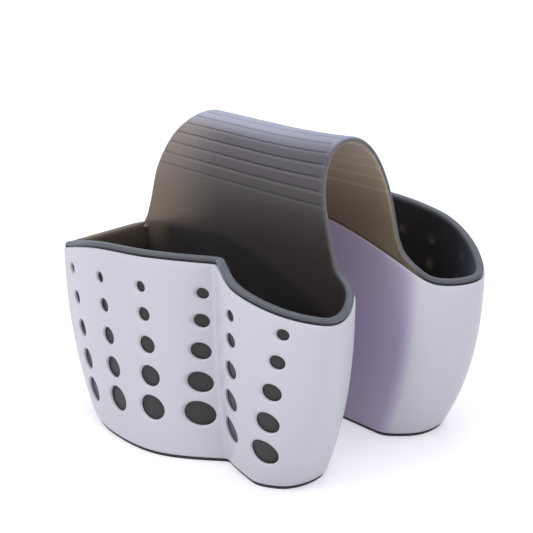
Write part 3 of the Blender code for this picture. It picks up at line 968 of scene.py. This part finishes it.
# The crown's lift towards its right end is taken off again first.
lift = crown_flare * np.clip((points[crown, 0] + part_middle) / (strap_top_width / 2), 0, 1) ** 2
level = spring_height + along[crown] * arch_rise / (arch_rise + lift)
flat_to_arch = np.column_stack((np.abs(points[crown, 1]), level))
distances = [np.linalg.norm(arch_line - place, axis=1) for place in flat_to_arch]
along[crown] = arch_lengths[[distance.argmin() for distance in distances]]
inwards = strap_outer_y - np.abs(points[:, 1])
inwards[crown] = [distance.min() for distance in distances]
underside = np.clip((inwards - underside_start) / underside_fade, 0, 1) * in_strap
keep_number(soft_moulding, "underside", underside)
behind = points[:, 1] > 0
along[behind] = crown_length - along[behind]
keep_number(soft_moulding, "along_crown", along)

nearness = np.zeros(len(points))
for wall, hole_shares in ((front_wall, front_hole_shares), (back_wall, back_hole_shares)):
    for column in hole_shares:
        for row in range(hole_rows):
            spot, diameter = hole_spot(wall, column, row)
            middle, reach = wall.stand(np.array([spot]))[0], diameter * spot_share
            away = (points - middle) / (reach, spot_depth, reach)
            nearness = np.maximum(nearness, np.exp(-(away**2).sum(axis=1)))
keep_number(soft_moulding, "near_hole", nearness)
print(len(crown), "points on the crown,", int((nearness > 0.5).sum()), "behind holes")


# %% [markdown]
# Materials are written as short expressions. The class wraps one socket and
# turns + - * and ** into Math nodes, whichever side the socket is on. Any other
# node comes from node().

# %% Shader expressions
def both_ways(operation):
    def forward(self, other):
        return self.math(operation, self, other)

    def reflected(self, other):
        return self.math(operation, other, self)

    return forward, reflected


class Value:
    def __init__(self, tree, socket):
        self.tree, self.socket = tree, socket

    def math(self, operation, *terms):
        node = self.tree.nodes.new("ShaderNodeMath")
        node.operation = operation
        for slot, term in zip(node.inputs, terms):
            if isinstance(term, Value):
                self.tree.links.new(term.socket, slot)
            else:
                slot.default_value = term
        return Value(self.tree, node.outputs[0])

    __add__, __radd__ = both_ways("ADD")
    __sub__, __rsub__ = both_ways("SUBTRACT")
    __mul__, __rmul__ = both_ways("MULTIPLY")
    __pow__, __rpow__ = both_ways("POWER")

    def away_from(self, step):
        # Distance to the nearest whole multiple of step.
        return self.math("PINGPONG", self, step / 2)

    def smooth(self, low, high):
        node = self.tree.nodes.new("ShaderNodeMapRange")
        node.interpolation_type = "SMOOTHSTEP"
        self.tree.links.new(self.socket, node.inputs["Value"])
        node.inputs["From Min"].default_value = low
        node.inputs["From Max"].default_value = high
        return Value(self.tree, node.outputs["Result"])


class Finish:
    def __init__(self, name, **constants):
        self.material = bpy.data.materials.new(name)
        self.material.use_nodes = True
        self.tree = self.material.node_tree
        self.shader = self.tree.nodes["Principled BSDF"]
        for socket, value in constants.items():
            self.shader.inputs[socket.replace("_", " ")].default_value = value

    def node(self, kind, settings=None, output=0, **inputs):
        node = self.tree.nodes.new(kind)
        for key, value in (settings or {}).items():
            setattr(node, key, value)
        for key, value in inputs.items():
            slot = node.inputs[int(key[1:])] if key[1:].isdigit() else node.inputs[key.replace("_", " ")]
            if isinstance(value, Value):
                self.tree.links.new(value.socket, slot)
            else:
                slot.default_value = value
        return Value(self.tree, node.outputs[output])

    def mix(self, share, one, two):
        return self.node("ShaderNodeMix", {"data_type": "RGBA"}, 2, i0=share, i6=one, i7=two)

    def feed(self, **sockets):
        for name, value in sockets.items():
            self.tree.links.new(value.socket, self.shader.inputs[name.replace("_", " ")])

    def place(self):
        return self.node("ShaderNodeTexCoord", output="Object")

    def axis(self, name):
        return self.node("ShaderNodeSeparateXYZ", output=name, Vector=self.place())

    def number(self, name):
        return self.node("ShaderNodeAttribute", {"attribute_name": name}, "Fac")

    def noise(self, scale, detail=3.0, rough=0.5):
        return self.node("ShaderNodeTexNoise", Vector=self.place(), Scale=scale, Detail=detail,
                         Roughness=rough)

    def bump(self, height, strength, distance):
        return self.node("ShaderNodeBump", Strength=strength, Distance=distance, Height=height)

    def wear(self, *pieces):
        for piece in pieces:
            piece.data.materials.clear()
            piece.data.materials.append(self.material)


# %% [markdown]
# The shell is satin lilac-white plastic. A mould gives it a very fine grain,
# and the pigment is never quite even. The two flat walls face each other
# across the gap, where painted shade makes them a darker violet, standing in
# for the dim light bounced between them.

# %% Shell plastic
shell_finish = Finish("shell_plastic", Metallic=0.0, IOR=1.48)
depth = shell_finish.axis("Y")
# Painted shade: the flat walls in the gap between the baskets are painted a darker violet.
gap_shade = 1 - (depth * depth).smooth(flat_wall_y**2, (flat_wall_y + 0.003)**2)
pigment = shell_finish.mix(shell_finish.noise(28.0), (0.590, 0.583, 0.650, 1), (0.610, 0.603, 0.670, 1))
shell_finish.feed(
    Base_Color=shell_finish.mix(gap_shade, pigment, (0.54, 0.48, 0.64, 1)),
    Roughness=0.34 + 0.10 * shell_finish.noise(55.0, 4.0),
    Normal=shell_finish.bump(shell_finish.noise(2600.0, 2.0), 0.04, 0.0002))
shell_finish.wear(front_shell, back_shell)

# %% [markdown]
# The rubber is smoky brown, with light and shade painted in: painted light
# through the strap, strongest at its left end and darker to the right and
# below, a painted bluish highlight where the crown takes the light from above,
# and painted shade that makes it nearly black where it lines the cups. The line
# where the strap's painted light gives way to the cup's painted shade slopes
# down to the right. Its skin has a soft sheen. The rolled edge has a painted
# blue-grey highlight, and painted brown light beside the strap's left foot.

# %% Smoky rubber
soft_finish = Finish("strap_rubber", Metallic=0.0, Transmission_Weight=0.4, IOR=1.45,
                     Sheen_Weight=0.35, Sheen_Roughness=0.35, Sheen_Tint=(0.62, 0.72, 1.0, 1))
across, height, depth = (soft_finish.axis(name) for name in "XZY")
# Painted light through the strap: lighter at its left end and higher up, darker to the right and below.
left_through_light = 1 - across.smooth(-0.078, -0.018)
smoke_and_light = soft_finish.mix(left_through_light, (0.055, 0.042, 0.038, 1), (0.225, 0.165, 0.115, 1))
high = soft_finish.mix(left_through_light, (0.105, 0.094, 0.118, 1), (0.33, 0.28, 0.27, 1))
smoke_and_light = soft_finish.mix(height.smooth(0.105, 0.150), smoke_and_light, high)
along = soft_finish.number("along_crown")
# A painted bluish highlight along the top of the crown, a little brighter to the left.
crest_highlight = 1 - (along - crown_length / 2).away_from(1.0).smooth(0.004, 0.018)
crown_highlight = soft_finish.mix(across.smooth(-0.02, 0.05), (0.46, 0.48, 0.62, 1), (0.37, 0.385, 0.50, 1))
smoke_and_light = soft_finish.mix(crest_highlight, smoke_and_light, crown_highlight)
on_crown = along.smooth(first_groove - 0.002, first_groove)
on_crown = on_crown * (1 - along.smooth(groove_middles[-1], groove_middles[-1] + 0.002))
# A painted highlight line just below each groove on the crown, where its lip would catch the light.
lip_highlight = 1 - (along + 0.0008 - first_groove).away_from(groove_pitch).smooth(0.0002, 0.0009)
smoke_and_light = soft_finish.mix(0.30 * lip_highlight * on_crown, smoke_and_light, (0.32, 0.30, 0.32, 1))
# Painted light on the strap's underside: a warm-brown glow, brighter higher up and along the grooves,
# standing in for light shining through the rubber.
glow = soft_finish.mix(height.smooth(0.105, 0.142), (0.34, 0.26, 0.16, 1), (0.70, 0.545, 0.385, 1))
groove = 1 - (along - first_groove).away_from(groove_pitch).smooth(0.0, 0.0009)
glow = soft_finish.mix(0.4 * groove * on_crown, glow, (0.95, 0.82, 0.66, 1))
smoke_and_light = soft_finish.mix(soft_finish.number("underside"), smoke_and_light, glow)
# Painted shade: the cups are painted nearly black, with painted brown light up near the strap's left foot.
cup = soft_finish.mix((1 - across.smooth(-0.074, -0.058)) * height.smooth(0.070, 0.090),
                      (0.030, 0.021, 0.022, 1), (0.15, 0.115, 0.08, 1))
inside = soft_finish.number("inside")
# Painted light where a hole lets light in: brown light spots on the cup's inner face, a slightly lighter
# grey on its outer face.
lit_hole = soft_finish.mix(inside, (0.040, 0.037, 0.038, 1), (0.30, 0.23, 0.16, 1))
cup = soft_finish.mix(soft_finish.number("near_hole") ** (1 + 2 * inside), cup, lit_hole)
# Along this line, sloping down to the right, the strap's painted light gives way to the cup's painted shade.
shadow_slope = 0.147
over_shadow = soft_finish.number("above_wall") + shadow_slope * across
rubber = soft_finish.mix(over_shadow.smooth(-0.0138, -0.0072), cup, smoke_and_light)
# Painted highlight on the rolled edge, blue-grey, with painted brown light beside the strap's left foot.
left_foot_light = (1 - across.smooth(-0.079, -0.072)) * (1 - (depth * depth).smooth(0.0034, 0.0049))
edge = soft_finish.mix(left_foot_light, (0.135, 0.143, 0.163, 1), (0.20, 0.165, 0.125, 1))
rubber = soft_finish.mix(soft_finish.number("rolled_highlight"), rubber, edge)
cloud = 0.94 + 0.12 * soft_finish.noise(30.0)
soft_finish.feed(
    Base_Color=soft_finish.node("ShaderNodeVectorMath", {"operation": "SCALE"}, Vector=rubber,
                                Scale=cloud),
    Roughness=0.42 + 0.12 * soft_finish.noise(90.0, 4.0),
    Normal=soft_finish.bump(soft_finish.noise(1800.0, 2.0), 0.05, 0.0002))
soft_finish.wear(soft_moulding)

# %% [markdown]
# The foot is plain black rubber, matte and a little uneven, like any soft foot
# that has stood on a wet worktop.

# %% Foot rubber
foot_finish = Finish("foot_rubber", Metallic=0.0)
foot_finish.feed(
    Base_Color=foot_finish.mix(foot_finish.noise(60.0), (0.012, 0.012, 0.015, 1),
                               (0.02, 0.02, 0.024, 1)),
    Roughness=0.55 + 0.15 * foot_finish.noise(300.0))
foot_finish.wear(front_foot, back_foot)

# %% [markdown]
# The product stands on a white sweep under large soft lights. Only the floor's
# shadow tells it from the background. The floor adds white where the camera
# sees it, directly, in a gloss or through the rubber, and so does the world.

# %% Floor and backdrop
seen_rays = ("Is Camera Ray", "Is Glossy Ray", "Is Transmission Ray")
pick()
floor_size, floor_height = 6.0, -0.00002
bpy.ops.mesh.primitive_plane_add(size=floor_size, location=(0, 0, floor_height))
floor = bpy.context.object
floor.name = "studio_floor"
floor_finish = Finish("studio_white", Roughness=0.9, Emission_Strength=0.46)
seen = sum(floor_finish.node("ShaderNodeLightPath", output=name) for name in seen_rays)
floor_finish.feed(
    Base_Color=floor_finish.mix(floor_finish.noise(3.0), (0.62, 0.62, 0.62, 1), (0.63, 0.63, 0.63, 1)),
    Emission_Color=floor_finish.mix(seen, (0, 0, 0, 1), (0.93, 0.92, 1, 1)))
floor_finish.wear(floor)

world = bpy.data.worlds.new("studio")
bpy.context.scene.world = world
world.use_nodes = True
tree = world.node_tree
tree.nodes.clear()
paths = tree.nodes.new("ShaderNodeLightPath")
seen = sum(Value(tree, paths.outputs[name]) for name in seen_rays)
glow, backdrop = (tree.nodes.new("ShaderNodeBackground") for _ in range(2))
glow.inputs["Color"].default_value = (0.95, 0.97, 1.0, 1)
glow.inputs["Strength"].default_value = 0.60
backdrop.inputs["Strength"].default_value = 1.0
mixer = tree.nodes.new("ShaderNodeMixShader")
output = tree.nodes.new("ShaderNodeOutputWorld")
for start, end in ((seen.socket, mixer.inputs[0]), (glow.outputs[0], mixer.inputs[1]),
                   (backdrop.outputs[0], mixer.inputs[2]), (mixer.outputs[0], output.inputs[0])):
    tree.links.new(start, end)


# %% [markdown]
# Three large lamps light the product: a key from the front, a cool one from
# above that gives the crown its bluish shine, and a weak one from the right that
# opens the gap between the baskets. Their size keeps every shadow soft.

# %% Lights
light_aim = Vector((0, 0, 0.05))


def soft_light(name, place, size, power, colour=(1, 1, 1)):
    pick()
    bpy.ops.object.light_add(type="AREA", location=place)
    light = bpy.context.object
    light.name = name
    light.data.shape = "DISK"
    light.data.size = size
    light.data.energy = power
    light.data.color = colour
    light.rotation_mode = "QUATERNION"
    light.rotation_quaternion = (light_aim - Vector(place)).to_track_quat("-Z", "Y")
    print(name, power, "W")


soft_light("key", (-0.6, -2.2, 2.1), 1.7, 36.0)
soft_light("top", (0.2, 0.4, 2.7), 2.2, 34.0, (0.90, 0.94, 1.0))
soft_light("right", (2.4, -0.4, 1.0), 1.2, 13.0)
bpy.context.scene.view_settings.view_transform = "Standard"
